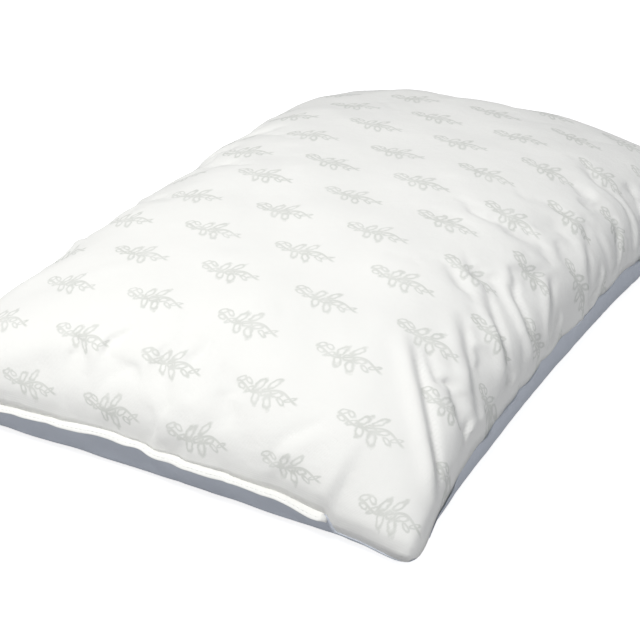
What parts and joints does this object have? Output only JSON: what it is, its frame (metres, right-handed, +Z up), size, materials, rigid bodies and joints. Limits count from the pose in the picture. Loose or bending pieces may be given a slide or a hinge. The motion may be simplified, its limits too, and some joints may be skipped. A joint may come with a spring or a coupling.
{
  "type": "bed pillow",
  "caption": "Knife-edge bed pillow with a printed cotton cover, a top-stitched closing lip at one short end and a shredded foam filling.",
  "frame": {"origin": "under the middle of the outline, on the flat underside", "axes": "+Z up, +Y along the length, the top-stitched closing lip at the -Y end, +X across the width"},
  "size_m": [0.47, 0.7317, 0.127],
  "materials": {
    "cotton_print": "matte",
    "cotton_plain": "matte",
    "sewing_thread": "satin",
    "label_tape": "satin",
    "foam": "matte"
  },
  "bodies": {
    "root": {"top_panel": "cotton_print", "bottom_panel": "cotton_plain", "closing_stitch": "sewing_thread", "side_seam_stitch": "sewing_thread", "overlock_stitch": "sewing_thread", "care_label": "label_tape", "foam_large": "foam", "foam_medium": "foam", "foam_small": "foam"}
  },
  "joints": []
}
